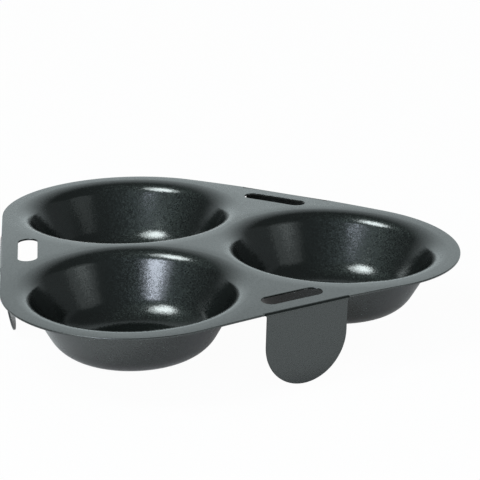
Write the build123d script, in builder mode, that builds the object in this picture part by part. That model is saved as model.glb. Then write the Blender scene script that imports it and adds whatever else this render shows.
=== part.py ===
from build123d import *
import os
from math import asin, cos, degrees, radians, sin, sqrt

os.makedirs("parts", exist_ok=True)

# Egg poaching tray: three drawn cups in one crowned sheet that stands on three folded legs.
#
# Frame: +Z up, the origin in the middle of the plane that the leg tips stand on, under the
# deck's crown. One cup lies along +X and the others 120 degrees apart. A slot and a leg lie
# between each pair of cups. The real tray is one pressing, so its zones meet face to face
# along forming lines: the deck, each drawn cup with its lip, and each leg with its fold.

# Driving dimensions, in millimetres and degrees

# The sheet and its crown
sheet_t = 0.7              # thickness of the coated steel sheet
dome_r = 1354.0            # radius of the crown that the presses leave on the deck's top

# The drawn cups
cup_mouth_r = 42.8         # where the lip leaves the deck, from the cup's own axis
cup_web = 1.0              # flat left between the mouths of two neighbouring cups
lip_outer_r = 8.5          # soft radius on which the lip leaves the deck
lip_outer_turn = 15.0      # the lip has turned this far when it tightens
lip_inner_r = 6.0          # tighter radius on which the lip turns on into the wall
wall_run = 14.5            # straight wall between the lip and the bowl
wall_taper = 28.3          # lean of that wall from the cup's axis
bowl_r = 12.9              # inside radius that turns the wall into the flat floor

# The deck's outline, three lobes joined by straight sides
lobe_margin = 5.45         # how much larger a lobe is than the mouth in it
lobe_set_in = 1.25         # the lobe's centre lies this much nearer the middle than the cup's

# The slots, one beside each leg
slot_length = 24.9
slot_width = 7.2
slot_set_in = 9.85         # from the straight side to the slot's long axis

# The legs, folded down from the straight sides
leg_width = 34.2           # the tip is a half circle of this width
fold_set_in = 0.9          # the fold starts this far inside the straight side
fold_r = 1.4               # outside radius of the fold
root_fillet_r = 1.0        # fillet of the blank where a leg's side meets the deck's edge
cup_clearance = 6.1        # height of the lowest cup bottom above the standing plane

back_lean_angle = 3.0      # how far each leg leans inwards at its tip
left_lean_angle = 9.5
front_lean_angle = 3.0

overrun = 5.0              # how far every cut runs past the sheet

# Where the pieces lie: one cup along +X, and a leg half a pitch on from each cup

cup_names = ("cup_right", "cup_back_left", "cup_front_left")
leg_names = ("leg_back", "leg_left", "leg_front")
leg_leans = (back_lean_angle, left_lean_angle, front_lean_angle)
half_pitch = 180 / len(cup_names)
cup_angles = [2 * half_pitch * turn for turn in range(len(cup_names))]
leg_angles = [cup_angle + half_pitch for cup_angle in cup_angles]

# Places that follow from the dimensions

cup_circle_r = (cup_mouth_r + cup_web / 2) / sin(radians(half_pitch))
cup_tilt = degrees(asin(cup_circle_r / dome_r))
lobe_circle_r = cup_circle_r - lobe_set_in
lobe_r = cup_mouth_r + lobe_margin
side_distance = lobe_circle_r * cos(radians(half_pitch)) + lobe_r
slot_distance = side_distance - slot_set_in
fold_distance = side_distance - fold_set_in
root_half_width = leg_width / 2 + root_fillet_r


def on_dome(distance, height):
    """Point of a plane through the dome's top: a distance from the axis, a height off the dome."""
    grown = (dome_r + height) / dome_r
    return distance * grown, sqrt(dome_r**2 - distance**2) * grown - dome_r


def dome_slope(distance):
    """Downward slope of the dome, in degrees, at a distance from its axis."""
    return degrees(asin(distance / dome_r))


# The cup's section, from the mouth over the lip and down to the floor's rim

mouth_slope = dome_slope(cup_mouth_r)
mouth_x, mouth_y = on_dome(cup_mouth_r, 0)
tighten_x = mouth_x - lip_outer_r * (sin(radians(mouth_slope)) + sin(radians(lip_outer_turn)))
tighten_y = mouth_y - lip_outer_r * (cos(radians(mouth_slope)) - cos(radians(lip_outer_turn)))
lip_end_x = tighten_x - lip_inner_r * (cos(radians(wall_taper)) - sin(radians(lip_outer_turn)))
lip_end_y = tighten_y - lip_inner_r * (cos(radians(lip_outer_turn)) - sin(radians(wall_taper)))
wall_end_x = lip_end_x - wall_run * sin(radians(wall_taper))
wall_end_y = lip_end_y - wall_run * cos(radians(wall_taper))
floor_r = wall_end_x - bowl_r * cos(radians(wall_taper))
floor_y = wall_end_y - bowl_r * (1 - sin(radians(wall_taper)))

# The crown's height puts the lowest cup bottom at its clearance

cup_drop = dome_r - sqrt(dome_r**2 - cup_circle_r**2)
bottom_reach = (sheet_t - floor_y) * cos(radians(cup_tilt)) + floor_r * sin(radians(cup_tilt))
crown_height = cup_drop + bottom_reach + cup_clearance


def radial_plane(angle):
    """Upright plane through the tray's axis: x runs outwards, y runs up from the crown."""
    outward = Vector(cos(radians(angle)), sin(radians(angle)), 0)
    up = Vector(0, 0, 1)
    return Plane(origin=(0, 0, crown_height), x_dir=outward, z_dir=outward.cross(up))


def tangent_plane(angle, distance):
    """Plane lying on the dome: x runs outwards down the slope, z is square to the sheet."""
    upright = radial_plane(angle)
    slope = radians(dome_slope(distance))
    return Plane(
        origin=upright.from_local_coords(on_dome(distance, 0)),
        x_dir=upright.from_local_coords((cos(slope), -sin(slope))) - upright.origin,
        z_dir=upright.from_local_coords((sin(slope), cos(slope))) - upright.origin,
    )


def cup_plane(angle):
    """Upright plane of a cup: y runs along the cup's axis, which is square to the dome."""
    seat = tangent_plane(angle, cup_circle_r)
    return Plane(origin=seat.origin, x_dir=seat.x_dir, z_dir=seat.x_dir.cross(seat.z_dir))


def make_deck():
    """The crowned plate, with its three mouths, its slots and a fold line for each leg."""
    reach = lobe_circle_r + lobe_r + overrun
    with BuildPart() as deck:
        with BuildSketch(radial_plane(0)):
            with BuildLine():
                CenterArc((0, -dome_r), dome_r, 90, -dome_slope(reach))
                CenterArc((0, -dome_r), dome_r - sheet_t, 90, -dome_slope(reach))
                Line((0, 0), (0, -sheet_t))
                Line(on_dome(reach, 0), on_dome(reach, -sheet_t))
            make_face()
        revolve(axis=Axis.Z)

        with BuildSketch(Plane.XY):
            for angle in cup_angles:
                with PolarLocations(lobe_circle_r, 1, start_angle=angle):
                    Circle(lobe_r)
            make_hull()
        extrude(amount=crown_height + overrun, mode=Mode.INTERSECT)

        for angle in cup_angles:
            with BuildSketch(tangent_plane(angle, cup_circle_r)):
                Circle(cup_mouth_r)
            extrude(amount=overrun, both=True, mode=Mode.SUBTRACT)

        with BuildSketch(Plane.XY):
            for angle in leg_angles:
                with PolarLocations(slot_distance, 1, start_angle=angle):
                    SlotOverall(slot_length, slot_width, rotation=90)
        extrude(amount=crown_height + overrun, mode=Mode.SUBTRACT)

        for angle in leg_angles:
            with BuildSketch(tangent_plane(angle, fold_distance)):
                notch = fold_set_in + overrun
                Rectangle(notch, 2 * root_half_width, align=(Align.MIN, Align.CENTER))
            extrude(amount=overrun, both=True, mode=Mode.SUBTRACT)
    return deck.part


def make_cup(angle):
    """One drawn cup: its lip leaves the deck in line with the dome, its floor is flat."""
    section_plane = cup_plane(angle)
    slope, taper = radians(mouth_slope), radians(wall_taper)
    with BuildPart() as cup:
        with BuildSketch(section_plane):
            with BuildLine():
                roll_off = JernArc(
                    (mouth_x, mouth_y),
                    (-cos(slope), sin(slope)),
                    lip_outer_r,
                    mouth_slope + lip_outer_turn,
                )
                lip = JernArc(
                    roll_off @ 1,
                    roll_off % 1,
                    lip_inner_r,
                    90 - wall_taper - lip_outer_turn,
                )
                wall = Line(lip @ 1, (wall_end_x, wall_end_y))
                bowl = JernArc(wall @ 1, (-sin(taper), -cos(taper)), bowl_r, wall_taper - 90)
                Line(bowl @ 1, (0, floor_y))
                offset(amount=sheet_t, side=Side.LEFT)
            make_face()
            with BuildLine():
                Polyline(
                    (mouth_x, mouth_y),
                    on_dome(cup_mouth_r, -sheet_t),
                    (mouth_x, sqrt((dome_r - sheet_t) ** 2 - cup_mouth_r**2) - dome_r),
                    close=True,
                )
            make_face()
        revolve(axis=Axis(section_plane.origin, section_plane.y_dir))
    return cup.part


def make_leg(angle, lean):
    """One leg: it is folded down from the deck's side, leans inwards and ends in a half circle."""
    section_plane = radial_plane(angle)
    slope, lean_angle = radians(dome_slope(fold_distance)), radians(lean)
    fold_x, fold_y = on_dome(fold_distance, 0)
    fold_end_x = fold_x - fold_r * (sin(slope) - cos(lean_angle))
    fold_end_y = fold_y - fold_r * (cos(slope) + sin(lean_angle))
    run = (crown_height + fold_end_y) / cos(lean_angle)
    tip_x = fold_end_x - run * sin(lean_angle)
    root_top = run + fold_r - sheet_t

    tip = section_plane.from_local_coords((tip_x, -crown_height))
    outward = section_plane.from_local_coords((cos(lean_angle), -sin(lean_angle)))
    face_plane = Plane(
        origin=tip,
        x_dir=section_plane.z_dir * -1,
        z_dir=outward - section_plane.origin,
    )

    with BuildPart() as leg:
        with BuildSketch(section_plane):
            with BuildLine():
                fold = JernArc(
                    (fold_x, fold_y),
                    (cos(slope), -sin(slope)),
                    fold_r,
                    degrees(slope) - 90 - lean,
                )
                Line(fold @ 1, (tip_x, -crown_height))
                offset(amount=sheet_t, side=Side.RIGHT)
            make_face()
        extrude(amount=root_half_width, both=True)

        with BuildSketch(face_plane):
            with BuildLine():
                half_width = leg_width / 2
                CenterArc((0, half_width), half_width, -90, 90)
                Line((half_width, half_width), (half_width, root_top - root_fillet_r))
                CenterArc((root_half_width, root_top - root_fillet_r), root_fillet_r, 90, 90)
                Line((root_half_width, root_top), (root_half_width, root_top + overrun))
                Line((root_half_width, root_top + overrun), (0, root_top + overrun))
                mirror(about=Plane.YZ)
            make_face()
        extrude(amount=fold_r + overrun, both=True, mode=Mode.INTERSECT)
    return leg.part


pieces = {"deck": make_deck()}
for name, angle in zip(cup_names, cup_angles):
    pieces[name] = make_cup(angle)
for name, angle, lean in zip(leg_names, leg_angles, leg_leans):
    pieces[name] = make_leg(angle, lean)

for name, piece in pieces.items():
    piece.label = name
    export_step(piece, f"parts/{name}.step")
    size = piece.bounding_box().size
    print(f"{name}: {piece.volume:.1f} mm3, {size.X:.1f} x {size.Y:.1f} x {size.Z:.1f} mm")

print(f"cup axes on a circle of {cup_circle_r:.2f} mm, tilted {cup_tilt:.2f} degrees")
print(f"cup floor {2 * floor_r:.1f} mm across, {-floor_y:.1f} mm below the deck")
print(f"crown {crown_height:.2f} mm above the standing plane, side at {side_distance:.2f} mm")
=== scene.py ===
# %% [markdown]
# # Egg poaching tray
#
# The object is one steel pressing: a crowned sheet, three cups drawn into it, and three legs
# folded down from its straight sides. It carries a dark non-stick coating all over. In this
# lesson each zone of the pressing becomes a piece of its own, modelled with the tools of edit
# mode, and one coating covers them all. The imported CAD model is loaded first. It is the fixed
# frame that every piece has to fit, so all places are in metres in its axes.

# %% Load the frame
from math import asin, cos, pi, radians, sin, sqrt

import bmesh
import bpy
from mathutils import Matrix, Vector


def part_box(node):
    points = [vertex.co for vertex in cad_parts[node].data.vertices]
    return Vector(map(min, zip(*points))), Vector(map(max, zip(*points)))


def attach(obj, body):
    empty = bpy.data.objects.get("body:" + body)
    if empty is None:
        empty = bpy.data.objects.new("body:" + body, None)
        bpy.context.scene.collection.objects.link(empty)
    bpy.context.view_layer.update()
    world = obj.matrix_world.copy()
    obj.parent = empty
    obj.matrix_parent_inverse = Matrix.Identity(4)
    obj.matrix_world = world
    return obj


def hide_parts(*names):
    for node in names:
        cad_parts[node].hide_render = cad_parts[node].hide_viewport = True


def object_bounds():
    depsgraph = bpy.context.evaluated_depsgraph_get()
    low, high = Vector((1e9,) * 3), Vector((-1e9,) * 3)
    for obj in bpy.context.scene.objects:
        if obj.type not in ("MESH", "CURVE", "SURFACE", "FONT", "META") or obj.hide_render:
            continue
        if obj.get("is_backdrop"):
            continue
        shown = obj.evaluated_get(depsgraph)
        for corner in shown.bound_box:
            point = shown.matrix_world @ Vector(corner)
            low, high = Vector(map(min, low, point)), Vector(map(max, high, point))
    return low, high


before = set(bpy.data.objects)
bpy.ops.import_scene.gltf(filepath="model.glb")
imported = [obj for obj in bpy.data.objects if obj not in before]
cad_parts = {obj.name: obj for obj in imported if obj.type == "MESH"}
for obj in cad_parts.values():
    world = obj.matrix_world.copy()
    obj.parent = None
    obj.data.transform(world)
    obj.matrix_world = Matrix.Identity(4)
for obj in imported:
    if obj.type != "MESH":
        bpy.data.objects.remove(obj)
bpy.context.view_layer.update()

# %% [markdown]
# ## Sizes
#
# The tray has few sizes, and each is written once, in millimetres. They are the ones that
# drive the CAD model, and a last group that is finer than it needs or only helps to model.
# One cup lies along +X and the others 120 degrees on. A leg lies half a pitch on from each
# cup, with a slot just inside it.

# %% Sizes of the pressing
MM = 0.001
SHEET = 0.7 * MM                 # thickness of the coated sheet
DOME_R = 1354.0 * MM             # the crown is part of a very large ball

MOUTH_R = 42.8 * MM              # where a cup's lip leaves the deck
WEB = 1.0 * MM                   # flat left between two mouths
LIP_OUTER_R = 8.5 * MM           # the lip leaves the deck on this radius
LIP_INNER_R = 6.0 * MM           # and tightens to this one,
TIGHTEN = radians(15)            # once it has turned this far
WALL_RUN = 14.5 * MM             # length of the wall between the lip and the bowl
WALL_TAPER = radians(28.3)       # its lean from the cup's axis
BOWL_R = 12.9 * MM               # turns the wall into the flat floor

LOBE_MARGIN = 5.45 * MM          # how much larger a lobe is than the mouth in it
LOBE_SET_IN = 1.25 * MM          # it also lies this much nearer the middle
SLOT_LENGTH, SLOT_WIDTH = 24.9 * MM, 7.2 * MM
SLOT_SET_IN = 9.85 * MM          # from the straight side to the slot's long axis
LEG_HALF = 17.1 * MM             # half of a leg's width
ROOT_FILLET = 1.0 * MM           # where a leg's side meets the deck's edge
FOLD_R = 1.4 * MM                # outside radius of a fold
FOLD_SET_IN = 0.9 * MM           # it starts this far inside the straight side

WALL_BOW = radians(1.5)          # how far the wall's slope drifts on the way, to each side
FLOOR_EASE_R = 160 * MM          # the bowl runs out on the floor on this radius,
FLOOR_EASE = radians(2.5)        # over this much of a turn
EDGE_ROUND = 0.2 * MM            # how far the cut edges are broken
HAIR = 0.06 * MM                 # width of the fine rings that hold the shading true
OVERRUN = 5.0 * MM               # how far a cutter runs past the sheet
WELD = MM / 1000                 # vertices nearer to each other than this become one

CUP_ANGLES = {"cup_right": 0, "cup_back_left": 120, "cup_front_left": 240}
LEG_ANGLES = {"leg_back": 60, "leg_left": 180, "leg_front": 300}
LEG_LEANS = {"leg_back": 3.0, "leg_left": 9.5, "leg_front": 3.0}
HALF_PITCH = radians(60)         # from a cup on to the next leg

CUP_CIRCLE = (MOUTH_R + WEB / 2) / sin(HALF_PITCH)
LOBE_CIRCLE, LOBE_R = CUP_CIRCLE - LOBE_SET_IN, MOUTH_R + LOBE_MARGIN
SIDE = LOBE_CIRCLE * cos(HALF_PITCH) + LOBE_R
SLOT_PLACE, FOLD_PLACE = SIDE - SLOT_SET_IN, SIDE - FOLD_SET_IN
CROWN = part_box("deck")[1].z      # height of the deck's top over the plane the legs stand on

print(f"crown {CROWN / MM:.2f} mm up, straight side {SIDE / MM:.2f} mm from the axis")

# %% [markdown]
# ## Small helpers
#
# An operator works on whatever is selected, and loading leaves the CAD nodes selected. So
# everything is deselected first, and each step then picks what it works on.

# %% Helpers for selecting
def only(obj):
    """Makes obj the one selected and active object."""
    bpy.ops.object.select_all(action="DESELECT")
    obj.select_set(True)
    bpy.context.view_layer.objects.active = obj


def pick_edges(obj, test):
    """In edit mode, selects the edges of obj for which test is true, and counts them."""
    bpy.ops.mesh.select_all(action="DESELECT")
    bpy.ops.mesh.select_mode(type="EDGE")
    mesh = bmesh.from_edit_mesh(obj.data)
    found = [edge for edge in mesh.edges if test(edge)]
    for edge in found:
        edge.select_set(True)
    bmesh.update_edit_mesh(obj.data)
    return len(found)


def finish_modifier(obj, kind, **settings):
    """Adds a modifier with these settings and applies it."""
    only(obj)
    modifier = obj.modifiers.new(kind.title(), kind)
    for key, value in settings.items():
        setattr(modifier, key, value)
    bpy.ops.object.modifier_apply(modifier=modifier.name)


print("loading left", len(bpy.context.selected_objects), "objects selected")
bpy.ops.object.select_all(action="DESELECT")

# %% [markdown]
# A pressing's section is made of arcs and straight runs, like the line a punch draws. It can
# be drawn the same way in edit mode: one vertex, spun about each arc's centre and extruded
# along each run. The vertex starts as a plane whose corners are merged. A finished section is
# spun or extruded into a skin, the face of the sheet that one sees, and the sheet's thickness
# goes on behind it.

# %% Helpers for drawing a section
def start_section(name, place):
    """Starts a section in edit mode with one vertex at place."""
    bpy.ops.object.select_all(action="DESELECT")
    bpy.ops.mesh.primitive_plane_add(size=MM, location=(0, 0, 0))
    obj = bpy.context.active_object
    obj.name = name
    bpy.ops.object.mode_set(mode="EDIT")
    bpy.ops.mesh.select_mode(type="VERT")
    bpy.ops.mesh.select_all(action="SELECT")
    bpy.ops.mesh.merge(type="CENTER")
    bpy.ops.transform.translate(value=place)
    return obj


def arc(centre, angle, steps):
    """Carries the section on round centre. A positive angle turns from +Z towards -X."""
    bpy.ops.mesh.spin(
        steps=steps, angle=angle, center=centre, axis=(0, 1, 0), use_auto_merge=False
    )


def soft_arc(centre, radius, angle, steps):
    """An arc with a hair's breadth of itself at both ends, which keeps what it joins flat."""
    hair = (HAIR if angle > 0 else -HAIR) / radius
    arc(centre, hair, 1)
    arc(centre, angle - 2 * hair, steps)
    arc(centre, hair, 1)


def run(step):
    """Carries the section on along a straight step."""
    bpy.ops.mesh.extrude_region_move(TRANSFORM_OT_translate={"value": step})


def on_dome(distance, height=0.0):
    """(distance out, height) of a point that lies a height off the dome."""
    grown = (DOME_R + height) / DOME_R
    return distance * grown, sqrt(DOME_R**2 - distance**2) * grown - DOME_R


print(f"at a cup's axis the dome has sunk by {-on_dome(CUP_CIRCLE)[1] / MM:.2f} mm")

# %% Helpers for making a sheet of a section
TURNS = 120                      # steps round a cup, and round the whole tray


def turn_round():
    """Spins the section once round the Z axis and closes the seam."""
    bpy.ops.mesh.select_all(action="SELECT")
    bpy.ops.mesh.spin(steps=TURNS, angle=2 * pi, center=(0, 0, 0), axis=(0, 0, 1))
    bpy.ops.mesh.select_all(action="SELECT")
    bpy.ops.mesh.remove_doubles(threshold=WELD)


def thicken(skin, outwards):
    """Turns the skin's faces outwards and gives it the sheet's thickness behind them."""
    bpy.ops.mesh.select_all(action="SELECT")
    bpy.ops.mesh.normals_make_consistent(inside=False)
    mesh = bmesh.from_edit_mesh(skin.data)
    if sum(face.normal.dot(outwards) * face.calc_area() for face in mesh.faces) < 0:
        bpy.ops.mesh.flip_normals()
    bpy.ops.object.mode_set(mode="OBJECT")
    finish_modifier(skin, "SOLIDIFY", thickness=SHEET, offset=-1, use_even_offset=True)


print(f"sections turn in {TURNS} steps of {360 / TURNS:.0f} degrees")

# %% [markdown]
# ## The deck
#
# The real deck is a flat blank that the presses leave slightly crowned. Its outline is three
# round lobes joined by straight sides. The crown is part of a ball, so the sheet is made as
# a cap of that ball: a short section spun round the axis. Outline, mouths and slots are then
# cut with Booleans, as the blanking and punching tools cut the real sheet. That keeps every
# face of the top on the true crown, which matters because a satin coating shows each dent.

# %% Spin the crowned sheet
CAP_REACH, CAP_RINGS = 102 * MM, 26    # a little past the outline, in even rings


def crowned_sheet():
    """A cap of the dome's ball, as thick as the sheet."""
    sheet = start_section("deck_skin", (0, 0, CROWN))
    arc((0, 0, CROWN - DOME_R), -asin(CAP_REACH / DOME_R), CAP_RINGS)
    turn_round()
    thicken(sheet, Vector((0, 0, 1)))
    return sheet


deck = crowned_sheet()
print("crowned sheet:", len(deck.data.vertices), "vertices")

# %% [markdown]
# The outline's straight sides touch the round lobes without a corner. A convex hull round
# three cylinders gives just that shape, and a hull round two small ones gives a slot.

# %% Cutters and cuts
LOBE_CORNERS, SLOT_CORNERS = 180, 48    # of the cylinders in a hull


def hull_cutter(places, radius, corners):
    """A block round upright cylinders at these places, like a string pulled round pegs."""
    bpy.ops.object.select_all(action="DESELECT")
    for number, (x, y) in enumerate(places):
        bpy.ops.mesh.primitive_cylinder_add(
            vertices=corners, radius=radius, depth=4 * CROWN, location=(x, y, 0)
        )
        if number == 0:
            cutter = bpy.context.active_object
            bpy.ops.object.mode_set(mode="EDIT")    # so the others join this one's mesh
    bpy.ops.mesh.select_all(action="SELECT")
    bpy.ops.mesh.convex_hull()
    bpy.ops.mesh.select_all(action="SELECT")
    bpy.ops.mesh.dissolve_limited(angle_limit=radians(0.5))
    bpy.ops.object.mode_set(mode="OBJECT")
    return cutter


def cut(obj, cutter, keep_inside=False):
    """Cuts obj with cutter, which is then thrown away."""
    finish_modifier(
        obj, "BOOLEAN", object=cutter, solver="EXACT",
        operation="INTERSECT" if keep_inside else "DIFFERENCE",
    )
    bpy.data.objects.remove(cutter)


def polar(distance, angle, across=0.0):
    """A point at a distance out along an angle in degrees, moved sideways by across."""
    a = radians(angle)
    return distance * cos(a) - across * sin(a), distance * sin(a) + across * cos(a)


lobes = [polar(LOBE_CIRCLE, angle) for angle in CUP_ANGLES.values()]
cut(deck, hull_cutter(lobes, LOBE_R, LOBE_CORNERS), keep_inside=True)
slot_half = (SLOT_LENGTH - SLOT_WIDTH) / 2
for angle in LEG_ANGLES.values():
    ends = [polar(SLOT_PLACE, angle, across) for across in (-slot_half, slot_half)]
    cut(deck, hull_cutter(ends, SLOT_WIDTH / 2, SLOT_CORNERS))
print("blanked and slotted:", len(deck.data.vertices), "vertices")

# %% [markdown]
# A cup's axis is square to the crown, so its mouth is cut with a cone whose tip would lie at
# the centre of the dome's ball. The cut face then stands square to the sheet, just as the
# cup's own rim does, and the seam closes on both sides. The fold notches come off with a
# block each.

# %% Cut the mouths and the fold notches
def place_on_dome(distance, angle):
    """Matrix of a frame that lies on the dome: x runs outwards, z is square to the sheet."""
    x, z = on_dome(distance)
    return (
        Matrix.Rotation(radians(angle), 4, "Z")
        @ Matrix.Translation((x, 0, CROWN + z))
        @ Matrix.Rotation(asin(distance / DOME_R), 4, "Y")
    )


def mouth_cutter(angle):
    """A cone round a cup's axis, as wide as the mouth where it meets the dome's top."""
    spread = MOUTH_R / sqrt(DOME_R**2 - MOUTH_R**2)
    rise = sqrt(DOME_R**2 - MOUTH_R**2) - DOME_R
    bpy.ops.mesh.primitive_cone_add(
        vertices=TURNS,
        radius1=MOUTH_R - OVERRUN * spread,
        radius2=MOUTH_R + OVERRUN * spread,
        depth=2 * OVERRUN,
    )
    cutter = bpy.context.active_object
    cutter.matrix_world = place_on_dome(CUP_CIRCLE, angle) @ Matrix.Translation((0, 0, rise))
    return cutter


def notch_cutter(angle):
    """A block that takes off the strip outside a fold."""
    bpy.ops.mesh.primitive_cube_add(size=1)
    cutter = bpy.context.active_object
    size = (2 * OVERRUN, 2 * (LEG_HALF + ROOT_FILLET), 2 * OVERRUN)
    cutter.matrix_world = (
        place_on_dome(FOLD_PLACE, angle)
        @ Matrix.Translation((OVERRUN, 0, 0))
        @ Matrix.Diagonal((*size, 1))
    )
    return cutter


for angle in CUP_ANGLES.values():
    cut(deck, mouth_cutter(angle))
for angle in LEG_ANGLES.values():
    cut(deck, notch_cutter(angle))
print("mouths and folds cut:", len(deck.data.vertices), "vertices")

# %% [markdown]
# No punched edge is perfectly sharp, least of all under a sprayed coating. The outline and
# the slots get a tiny bevel, which catches a thin line of light. The mouths and fold lines
# are left as they are, because the sheet runs on there into a cup or a leg.

# %% Break the deck's cut edges
NEAR_MOUTH, NEAR_FOLD = 0.1 * MM, 0.05 * MM    # a vertex as near to a seam as this is on it
SHARP = radians(50)              # an edge with a larger angle than this is broken
CREASE = radians(35)             # and with a larger one than this is shaded as an edge


def near_seam(point):
    """True on a cup's mouth or on a fold line, where the deck runs on into another piece."""
    for angle in CUP_ANGLES.values():
        local = place_on_dome(CUP_CIRCLE, angle).inverted() @ point
        if abs(Vector(local[:2]).length - MOUTH_R) < NEAR_MOUTH:
            return True
    for angle in LEG_ANGLES.values():
        local = place_on_dome(FOLD_PLACE, angle).inverted() @ point
        if local.x > -NEAR_FOLD and abs(local.y) < LEG_HALF + ROOT_FILLET + NEAR_FOLD:
            return True
    return False


def break_edges(obj, seam, merge):
    """Bevels the sharp edges of obj that aren't on a seam with another piece."""
    only(obj)
    bpy.ops.object.mode_set(mode="EDIT")
    bpy.ops.mesh.select_all(action="SELECT")
    bpy.ops.mesh.remove_doubles(threshold=merge)
    count = pick_edges(
        obj,
        lambda edge: len(edge.link_faces) == 2 and edge.calc_face_angle() > SHARP
        and not any(seam(vertex.co) for vertex in edge.verts),
    )
    bpy.ops.mesh.bevel(offset=EDGE_ROUND, segments=3, clamp_overlap=False)
    bpy.ops.object.mode_set(mode="OBJECT")
    return count


def smooth(obj):
    """Smooth shading that keeps sharp edges, weighted so that large faces stay flat."""
    only(obj)
    bpy.ops.object.shade_smooth_by_angle(angle=CREASE)
    finish_modifier(obj, "WEIGHTED_NORMAL", weight=100, keep_sharp=True)


print("deck edges broken:", break_edges(deck, near_seam, merge=0.05 * MM))
smooth(deck)

# %% [markdown]
# ## The cups
#
# Each cup is drawn from the same sheet. Its lip runs out of the deck with no corner: it rolls
# off softly first and then tightens, as sheet does round the edge of a drawing die. A
# straight tapered wall follows, and a bowl radius down to a flat floor. A turned section
# suits it: lip, wall, bowl and floor are drawn once, spun round the cup's axis and given the
# sheet's thickness. The section stands on its own axis first and is laid on the dome
# afterwards. Hair-fine rings where arcs begin and end keep the shading of deck, wall and
# floor true.
#
# A mirror shows what a ruler can't. In the photograph the highlights fade down the walls,
# so a wall is very slightly hollow, and the bowl runs out on the floor with no line. Both
# are a tenth of a millimetre off the CAD's plain cone and arc, with the floor at its height.

# %% Draw and spin a cup
def drawn_cup():
    """One cup round the Z axis, with the dome's top at z = 0 on that axis."""
    slope = asin(MOUTH_R / DOME_R)
    mouth = Vector((MOUTH_R, 0, sqrt(DOME_R**2 - MOUTH_R**2) - DOME_R))
    roll_centre = mouth - LIP_OUTER_R * Vector((sin(slope), 0, cos(slope)))
    tightened = Vector((-sin(TIGHTEN), 0, cos(TIGHTEN)))
    lip_centre = roll_centre + (LIP_OUTER_R - LIP_INNER_R) * tightened

    def square(taper):
        """Direction square to a wall of this taper, from inside the cup."""
        return Vector((cos(taper), 0, -sin(taper)))

    steep, slack = WALL_TAPER - WALL_BOW, WALL_TAPER + WALL_BOW
    wall_r = WALL_RUN / 2 / sin(WALL_BOW)
    wall_centre = lip_centre - (LIP_INNER_R + wall_r) * square(steep)
    wall_end = wall_centre + wall_r * square(slack)
    floor_z = (
        lip_centre.z + (LIP_INNER_R + BOWL_R) * sin(WALL_TAPER)
        - WALL_RUN * cos(WALL_TAPER) - BOWL_R
    )
    ease_rise = FLOOR_EASE_R * (1 - cos(FLOOR_EASE))
    bowl_r = (wall_end.z - floor_z - ease_rise) / (cos(FLOOR_EASE) - sin(slack))
    bowl_centre = wall_end - bowl_r * square(slack)
    eased = Vector((sin(FLOOR_EASE), 0, -cos(FLOOR_EASE)))
    ease_centre = bowl_centre - (FLOOR_EASE_R - bowl_r) * eased
    floor_r = ease_centre.x

    cup = start_section("cup_skin", mouth)
    soft_arc(roll_centre, LIP_OUTER_R, slope + TIGHTEN, steps=6)
    soft_arc(lip_centre, LIP_INNER_R, pi / 2 - steep - TIGHTEN, steps=12)
    arc(wall_centre, -2 * WALL_BOW, steps=6)
    soft_arc(bowl_centre, bowl_r, slack + FLOOR_EASE - pi / 2, steps=18)
    arc(ease_centre, -FLOOR_EASE, steps=6)
    for share in (0.4, 0.4, 0.2):    # rings of the flat floor
        run((-floor_r * share, 0, 0))
    turn_round()
    thicken(cup, Vector((0, 0, 1)))
    bpy.ops.object.shade_smooth_by_angle(angle=CREASE)
    print(f"bowl radius {bowl_r / MM:.2f} mm, flat floor {2 * floor_r / MM:.1f} mm across")
    return cup


cup_master = drawn_cup()

# %% [markdown]
# The three cups are alike, so the turned one is a master for three copies. Each is laid on
# the dome, square to it. Its place then goes into its mesh, so that all pieces keep their
# origin in the frame's.

# %% Lay the cups on the dome
def lay(obj, name, matrix):
    """A copy of obj with its own mesh, laid in place and with its place in its mesh."""
    only(obj)
    bpy.ops.object.duplicate()
    copy = bpy.context.active_object
    copy.name = copy.data.name = name
    copy.matrix_world = matrix
    bpy.ops.object.transform_apply(location=True, rotation=True, scale=True)
    return copy


pieces = {"deck": deck}
for name, angle in CUP_ANGLES.items():
    pieces[name] = lay(cup_master, name + "_skin", place_on_dome(CUP_CIRCLE, angle))
bpy.data.objects.remove(cup_master)
print("cups:", len(pieces["cup_right"].data.vertices), "vertices each")

# %% [markdown]
# ## The legs
#
# A leg is a tab of the blank, folded down with a small radius and ending in a half circle.
# Its section is drawn from the fold line outwards and down, extruded to the width of the
# root and given its thickness. The left leg leans in further than the other two, as it does
# on the real tray, where folding by hand or by press is never exact.

# %% Fold a leg
def folded_sheet(lean):
    """The fold and the leg below it as a plain strip, for a leg that points along +X."""
    slope = asin(FOLD_PLACE / DOME_R)
    x, z = on_dome(FOLD_PLACE)
    start = Vector((x, 0, CROWN + z))
    centre = start - FOLD_R * Vector((sin(slope), 0, cos(slope)))
    end = centre + FOLD_R * Vector((cos(lean), 0, -sin(lean)))
    length = end.z / cos(lean)
    strip = start_section("leg_skin", start)
    soft_arc(centre, FOLD_R, -(pi / 2 - slope + lean), steps=8)
    run((-length * sin(lean), 0, -length * cos(lean)))
    bpy.ops.mesh.select_all(action="SELECT")
    bpy.ops.transform.translate(value=(0, -LEG_HALF - ROOT_FILLET, 0))
    run((0, 2 * (LEG_HALF + ROOT_FILLET), 0))
    thicken(strip, Vector((1, 0, 0)))
    tip = end - length * Vector((sin(lean), 0, cos(lean)))
    return strip, tip, length


print(f"fold lines {FOLD_PLACE / MM:.2f} mm from the axis, on a radius of {FOLD_R / MM:.1f} mm")

# %% [markdown]
# The strip still has square corners. A tongue-shaped cutter gives the leg its half circle and
# the small fillets at its root. It is drawn as half an outline, upwards from the tip, and
# mirrored, so both sides are sure to match.

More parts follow.
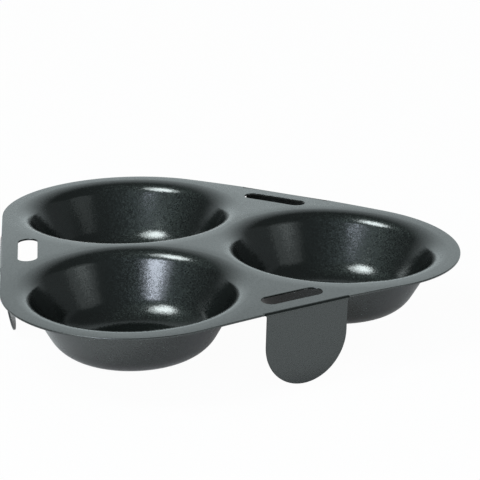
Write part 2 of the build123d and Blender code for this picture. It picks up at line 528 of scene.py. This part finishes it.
# %% Draw the tongue
def tongue_cutter(tip, lean, length):
    """The tongue's outline, drawn upwards from its tip and mirrored, as a thick block."""
    root_top = length + FOLD_R - SHEET
    cutter = start_section("tongue", (0, 0, 0))
    arc((0, 0, LEG_HALF), pi / 2, steps=24)
    run((0, 0, root_top - ROOT_FILLET - LEG_HALF))
    arc((LEG_HALF + ROOT_FILLET, 0, root_top - ROOT_FILLET), -pi / 2, steps=6)
    run((0, 0, OVERRUN))
    run((-LEG_HALF - ROOT_FILLET, 0, 0))
    bpy.ops.object.mode_set(mode="OBJECT")
    finish_modifier(cutter, "MIRROR", use_axis=(True, False, False), merge_threshold=10 * WELD)
    bpy.ops.object.mode_set(mode="EDIT")
    bpy.ops.mesh.select_all(action="SELECT")
    bpy.ops.mesh.edge_face_add()
    bpy.ops.transform.translate(value=(0, -OVERRUN, 0))
    run((0, 2 * OVERRUN, 0))
    bpy.ops.mesh.select_all(action="SELECT")
    bpy.ops.mesh.normals_make_consistent(inside=False)
    bpy.ops.object.mode_set(mode="OBJECT")
    up, face = Vector((sin(lean), 0, cos(lean))), Vector((cos(lean), 0, -sin(lean)))
    cutter.matrix_world = Matrix(
        [(*row, place) for row, place in zip(zip((0, 1, 0), -face, up), tip)] + [(0, 0, 0, 1)]
    )
    return cutter


print(f"tongue {2 * LEG_HALF / MM:.1f} mm wide, fillets of {ROOT_FILLET / MM:.1f} mm at the root")

# %% [markdown]
# All three legs are made pointing along +X, where their sizes are easiest to follow, and then
# turned to their places. Their cut edges are broken like the deck's, but not at the fold
# line, where the sheet runs on.

# %% Make the legs
def at_fold(point):
    """True where a leg that points along +X meets the deck."""
    local = place_on_dome(FOLD_PLACE, 0).inverted() @ point
    return local.x < HAIR / 2 and local.z > -2 * SHEET


for name, angle in LEG_ANGLES.items():
    lean = radians(LEG_LEANS[name])
    leg, tip, length = folded_sheet(lean)
    cut(leg, tongue_cutter(tip, lean, length), keep_inside=True)
    broken = break_edges(leg, at_fold, merge=5 * WELD)
    smooth(leg)
    leg.name = leg.data.name = name + "_skin"
    only(leg)
    leg.matrix_world = Matrix.Rotation(radians(angle), 4, "Z")
    bpy.ops.object.transform_apply(location=True, rotation=True, scale=True)
    pieces[name] = leg
    print(f"{name}: {length / MM:.2f} mm long, {broken} edges broken")

# %% [markdown]
# Each piece is now set against the CAD solid that it stands for. The two boxes should agree
# to about a tenth of a millimetre. The cups' lowest points differ most, because their floors
# run out softly.

# %% Compare with the CAD solids
for name, piece in pieces.items():
    low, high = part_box(name)
    points = [v.co for v in piece.data.vertices]
    off = [min(p[i] for p in points) - low[i] for i in range(3)]
    off += [max(p[i] for p in points) - high[i] for i in range(3)]
    print(name, len(piece.data.polygons), "faces, box differs by", [round(v / MM, 3) for v in off])

# %% [markdown]
# ## The coating
#
# The finish is a sprayed non-stick coating, cured on steel sheet: a nearly black film with
# fine mica flakes under a clear, satin skin. In the shader the flakes are a dark, dull metal
# and the skin is a clear coat over it, which mirrors more the flatter one looks along it.
# Seen from above the tray is almost black. The grey of the deck is the pale room, mirrored
# by the skin. Each flake lies a little tilted, so the highlights break up into sparkle while
# the deck stays smooth.

# %% Helpers for colour and nodes
def linear(hex_colour):
    """An sRGB hex colour as the linear colour that a shader needs."""
    channels = [int(hex_colour[i:i + 2], 16) / 255 for i in (1, 3, 5)]
    return (*[c / 12.92 if c <= 0.04045 else ((c + 0.055) / 1.055) ** 2.4 for c in channels], 1)


def add(tree, kind, settings=None, inputs=None):
    """Adds a node. Inputs are values, or the sockets that they are linked from."""
    node = tree.nodes.new("ShaderNode" + kind)
    for key, value in (settings or {}).items():
        setattr(node, key, value)
    for key, value in (inputs or {}).items():
        if isinstance(value, bpy.types.NodeSocket):
            tree.links.new(value, node.inputs[key])
        else:
            node.inputs[key].default_value = value
    return node


print("a mid grey, #808080, is", round(linear("#808080")[0], 3), "in linear light")

# %% [markdown]
# Drawing a cup also pulls the sheet round its mouth down a little. That is too slight to see
# in the outline, but the room mirrored in the deck shows it as a soft band round each cup.
# So the mesh stays on the true crown and the shader tips its normal there.

# %% The sheet's soft shoulder
SHOULDER = 5 * MM                # how far the soft band reaches from the mouth
SINK = sin(radians(4))           # its slope at the mouth


def unit_sum(tree, first, second):
    """The sum of two vectors, made one long."""
    total = add(tree, "VectorMath", {"operation": "ADD"}, {0: first, 1: second})
    return add(tree, "VectorMath", {"operation": "NORMALIZE"}, {0: total.outputs[0]}).outputs[0]


def shouldered(tree, place, normal):
    """The normal, tipped a little towards each cup near its mouth, where the sheet sinks."""
    for angle in CUP_ANGLES.values():
        centre = (*polar(CUP_CIRCLE, angle), CROWN)
        to_cup = add(tree, "VectorMath", {"operation": "SUBTRACT"}, {0: centre, 1: place})
        level = add(tree, "VectorMath", {"operation": "MULTIPLY"}, {
            0: to_cup.outputs[0], 1: (1, 1, 0),
        })
        out = add(tree, "VectorMath", {"operation": "LENGTH"}, {0: level.outputs[0]})
        offset = add(tree, "Math", {"operation": "SUBTRACT"}, {0: out.outputs["Value"], 1: MOUTH_R})
        side = add(tree, "Math", {"operation": "ABSOLUTE"}, {0: offset.outputs[0]})
        sink = add(tree, "MapRange", {"interpolation_type": "SMOOTHSTEP"}, {
            "Value": side.outputs[0], "From Min": SHOULDER, "From Max": 0.0, "To Max": SINK,
        })
        step = add(tree, "VectorMath", {"operation": "NORMALIZE"}, {0: level.outputs[0]})
        tilt = add(tree, "VectorMath", {"operation": "SCALE"}, {
            0: step.outputs[0], "Scale": sink.outputs["Result"],
        })
        normal = unit_sum(tree, normal, tilt.outputs[0])
    return normal


print(f"shoulder: {SHOULDER / MM:.1f} mm wide round each mouth")

# %% [markdown]
# The coating gives the eye three things: a soft grey sheen on the deck from its clear skin,
# near-black depths in the cups from its dark film, and a fine sparkle round each highlight
# from its flakes. The film's colour drifts very slightly, as sprayed films do.

# %% The non-stick coating
FLAKE = 0.33 * MM                # flakes are finer on the real sheet: drawn as coarse as shows
FLAKE_TILT, SKIN_TILT = 0.4, 0.05    # how far they lie over, and ripple the skin over them
MOTTLE = 30 * MM                 # slow drift in the sprayed film


def non_stick_coating():
    """Sprayed and cured non-stick coating with mica flakes, on steel sheet."""
    material = bpy.data.materials.new("non_stick_coating_on_steel")
    material.use_nodes = True
    tree = material.node_tree
    tree.nodes.clear()
    place = add(tree, "TexCoord").outputs["Object"]
    flakes = add(tree, "TexVoronoi", {"feature": "F1"}, {"Vector": place, "Scale": 1 / FLAKE})
    drift = add(tree, "TexNoise", None, {"Vector": place, "Scale": 1 / MOTTLE, "Detail": 3})
    film = add(tree, "Mix", {"data_type": "RGBA"}, {
        "Factor": drift.outputs["Fac"], "A": linear("#2b302e"), "B": linear("#323735"),
    })
    away = add(tree, "VectorMath", {"operation": "SUBTRACT"}, {
        0: flakes.outputs["Color"], 1: (0.5, 0.5, 0.5),
    })
    face = shouldered(tree, place, add(tree, "NewGeometry").outputs["Normal"])

    def tipped(most):
        """The sheet's normal, tipped by each flake's own amount."""
        tilt = add(tree, "VectorMath", {"operation": "SCALE"}, {0: away.outputs[0], "Scale": most})
        return unit_sum(tree, face, tilt.outputs[0])

    shader = add(tree, "BsdfPrincipled", None, {
        "Base Color": film.outputs["Result"],
        "Metallic": 1.0,
        "Roughness": 0.5,
        "IOR": 1.5,
        "Specular IOR Level": 0.0,
        "Specular Tint": linear("#505050"),
        "Normal": tipped(FLAKE_TILT),
        "Coat Weight": 1.0,
        "Coat Roughness": 0.15,
        "Coat IOR": 1.8,
        "Coat Normal": tipped(SKIN_TILT),
    })
    add(tree, "OutputMaterial", None, {"Surface": shader.outputs[0]})
    return material


coating = non_stick_coating()
for piece in pieces.values():
    piece.data.materials.clear()
    piece.data.materials.append(coating)
print("coating:", len(coating.node_tree.nodes), "nodes")

# %% [markdown]
# ## Floor, room and lamps
#
# The photograph has a pure white ground. A floor can't be made white with more light, or the
# tray would be too bright as well. So a ray that comes straight from the camera sees a floor
# that glows at a strength of 1, which is white. A small share of it stays plain and lit, so
# that the tray still drops its soft shadow. In the coating's mirror the open floor glows
# too, but less and less towards the tray, which keeps the light off the floor round it.

# %% The white floor
WHITE_SHARE = 0.97               # of the camera's view of the floor; the rest is lit
FLOOR_SIZE = 12                  # metres
TRAY_SIDE, OPEN_SIDE = 0.16, 0.5    # metres from the tray's middle
TRAY_SIDE_GLOW = 0.18            # how much of the floor's glow is left beside the tray


def white_floor():
    """Matt white studio floor, which stays white in the picture."""
    material = bpy.data.materials.new("white_studio_floor")
    material.use_nodes = True
    tree = material.node_tree
    tree.nodes.clear()
    lit = add(tree, "BsdfDiffuse", None, {"Color": linear("#f0f0f0")})
    glow = add(tree, "Emission", None, {"Color": (1, 1, 1, 1), "Strength": 1.0})
    path = add(tree, "LightPath")
    distance = add(tree, "VectorMath", {"operation": "LENGTH"}, {
        0: add(tree, "TexCoord").outputs["Object"],
    })
    open_floor = add(tree, "MapRange", None, {
        "Value": distance.outputs["Value"], "From Min": TRAY_SIDE, "From Max": OPEN_SIDE,
        "To Min": TRAY_SIDE_GLOW, "To Max": 1.0,
    })
    mirrored = add(tree, "Math", {"operation": "MULTIPLY"}, {
        0: path.outputs["Is Glossy Ray"], 1: open_floor.outputs["Result"],
    })
    share = add(tree, "Math", {"operation": "MULTIPLY_ADD"}, {
        0: path.outputs["Is Camera Ray"], 1: WHITE_SHARE, 2: mirrored.outputs[0],
    })
    mixed = add(tree, "MixShader", None, {
        0: share.outputs[0], 1: lit.outputs[0], 2: glow.outputs[0],
    })
    add(tree, "OutputMaterial", None, {"Surface": mixed.outputs[0]})
    return material


bpy.ops.object.select_all(action="DESELECT")
bpy.ops.mesh.primitive_plane_add(size=FLOOR_SIZE, location=(0, 0, 0))
floor = bpy.context.active_object
floor.name = "floor"
floor.data.materials.append(white_floor())
floor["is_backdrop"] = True
print("floor:", floor.name, "in", floor.data.materials[0].name)

# %% [markdown]
# A satin coating looks like the room that it mirrors, so the room counts as much as the
# lamps. The photograph tells what stood where, once the tray's shape and the camera are
# known. The deck mirrors a white sweep behind it, brightest low down. The left walls of the
# cups mirror a paler wall, low on the right. All the rest of the room is dark. The camera
# itself sees white everywhere, and light that reaches the tray by other ways is even and dim.

# %% Helper for rays that see the room as it is
def seen_plainly(tree):
    """1 for rays from the camera or by a mirror or glass, and 0 for the rest."""
    path = add(tree, "LightPath")
    first = add(tree, "Math", {"operation": "MAXIMUM"}, {
        0: path.outputs["Is Camera Ray"], 1: path.outputs["Is Glossy Ray"],
    })
    both = add(tree, "Math", {"operation": "MAXIMUM"}, {
        0: first.outputs[0], 1: path.outputs["Is Transmission Ray"],
    })
    return both.outputs[0]


# %% The white room
PALE = linear("#ecf9fb")
SWEEP_START, SWEEP_FULL = 0.38, 0.94    # Y of the directions where the sweep begins and is full
SWEEP_LEAST = 0.09                      # level of the dark rest of the room
PANEL_START, PANEL_FULL = 0.3, 0.65     # the same for the paler wall, in X
PANEL_TOP, PANEL_FOOT = radians(37), radians(25)    # the heights where it ends and is full
PANEL_LEVEL = 0.18                      # where the sweep's full level is 1
DIM_LEVEL = 0.35                        # of the light that comes by other ways

world = bpy.data.worlds.new("white_room")
bpy.context.scene.world = world
world.use_nodes = True
room = world.node_tree
room.nodes.clear()
direction = add(room, "SeparateXYZ", None, {0: add(room, "TexCoord").outputs["Generated"]})
sweep = add(room, "MapRange", None, {
    "Value": direction.outputs["Y"], "From Min": SWEEP_START, "From Max": SWEEP_FULL,
    "To Min": SWEEP_LEAST,
})
low_down = add(room, "MapRange", {"interpolation_type": "SMOOTHSTEP"}, {
    "Value": direction.outputs["Z"], "From Min": sin(PANEL_TOP), "From Max": sin(PANEL_FOOT),
})
to_the_right = add(room, "MapRange", {"interpolation_type": "SMOOTHSTEP"}, {
    "Value": direction.outputs["X"], "From Min": PANEL_START, "From Max": PANEL_FULL,
    "To Max": PANEL_LEVEL,
})
panel = add(room, "Math", {"operation": "MULTIPLY"}, {
    0: low_down.outputs["Result"], 1: to_the_right.outputs["Result"],
})
mirrored = add(room, "Math", {"operation": "MAXIMUM"}, {
    0: sweep.outputs["Result"], 1: panel.outputs[0],
})
level = add(room, "Math", {"operation": "MAXIMUM"}, {
    0: mirrored.outputs[0], 1: add(room, "LightPath").outputs["Is Camera Ray"],
})
bright = add(room, "Background", None, {"Color": PALE, "Strength": level.outputs[0]})
dim = add(room, "Background", None, {"Color": PALE, "Strength": DIM_LEVEL})
either = add(room, "MixShader", None, {
    0: seen_plainly(room), 1: dim.outputs[0], 2: bright.outputs[0],
})
add(room, "OutputWorld", None, {"Surface": either.outputs[0]})
bpy.context.scene.view_settings.view_transform = "Standard"
print("room:", len(room.nodes), "nodes")

# %% [markdown]
# Every bright spot in a cup is a soft box, seen by mirror, and its place in the cup gives the
# direction that the box stood in. There are three: the key high on the left, a cooler one low
# at the front, and a weak fill on the right. Each is a bright disc within a wider, weaker
# one, so that its highlight fades out at the edge as a real soft box's does.

# %% Lamps
DAYLIGHT, COOL = "#f4ffff", "#e6efff"
SOFT_BOXES = (
    # name, azimuth and height in degrees, distance and width in metres, watts, colour
    ("key_soft_box", -115, 55, 1.6, 0.5, 4.0, DAYLIGHT),
    ("key_soft_box_edge", -115, 57, 1.55, 0.8, 6.5, DAYLIGHT),
    ("side_soft_box", -150, 23.5, 1.6, 0.58, 5.4, COOL),
    ("side_soft_box_edge", -150, 19, 1.55, 1.1, 4.3, COOL),
    ("fill_soft_box", 123, 18, 1.6, 0.65, 0.6, DAYLIGHT),
    ("fill_soft_box_edge", 119, 22, 1.55, 1.0, 0.6, DAYLIGHT),
)


def soft_lamp(name, azimuth, height, distance, size, power, colour):
    """A round soft box that points at the tray. Azimuth 0 lies behind it, 90 to its right."""
    a, h = radians(azimuth), radians(height)
    place = Vector((sin(a) * cos(h), cos(a) * cos(h), sin(h))) * distance
    lamp = bpy.data.lights.new(name, "AREA")
    lamp.shape, lamp.size, lamp.energy, lamp.color = "DISK", size, power, linear(colour)[:3]
    obj = bpy.data.objects.new(name, lamp)
    bpy.context.scene.collection.objects.link(obj)
    obj.location = place
    obj.rotation_euler = place.to_track_quat("Z", "Y").to_euler()


for soft_box in SOFT_BOXES:
    soft_lamp(*soft_box)

# %% [markdown]
# ## The camera
#
# Its place and lens were worked out from the outline of the photograph: it looks down by
# 19 degrees from nearly straight in front, with a long lens.

# %% Camera
LOOK_AZIMUTH, LOOK_DOWN = radians(-2.77), radians(19.032)
LENS, SENSOR = 277.86, 36        # focal length and sensor width, in Blender's millimetres
CAMERA_X, CAMERA_Y = -46.928 * MM, -1290.506 * MM
CAMERA_OVER_CROWN = 446.653 * MM
CLIP = 0.05, 50                  # nearest and farthest that the camera sees, in metres

view = bpy.data.cameras.new("camera")
view.lens, view.sensor_width = LENS, SENSOR
view.clip_start, view.clip_end = CLIP
camera = bpy.data.objects.new("camera", view)
bpy.context.scene.collection.objects.link(camera)
camera.location = (CAMERA_X, CAMERA_Y, CAMERA_OVER_CROWN + CROWN)
back = Vector((
    sin(LOOK_AZIMUTH) * cos(LOOK_DOWN), -cos(LOOK_AZIMUTH) * cos(LOOK_DOWN), sin(LOOK_DOWN)
))
camera.rotation_euler = back.to_track_quat("Z", "Y").to_euler()
bpy.context.scene.camera = camera
print("camera at", [round(c, 3) for c in camera.location])

# %% [markdown]
# ## Tie the pieces to the CAD frame
#
# Every piece rides on the one body, and the CAD solid that it stands for is hidden.

# %% Ride on the body and hide the CAD solids
for name, piece in pieces.items():
    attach(piece, "root")
    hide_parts(name)

low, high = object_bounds()
print("visual box, mm:", [round(v / MM, 2) for v in (*low, *high)])
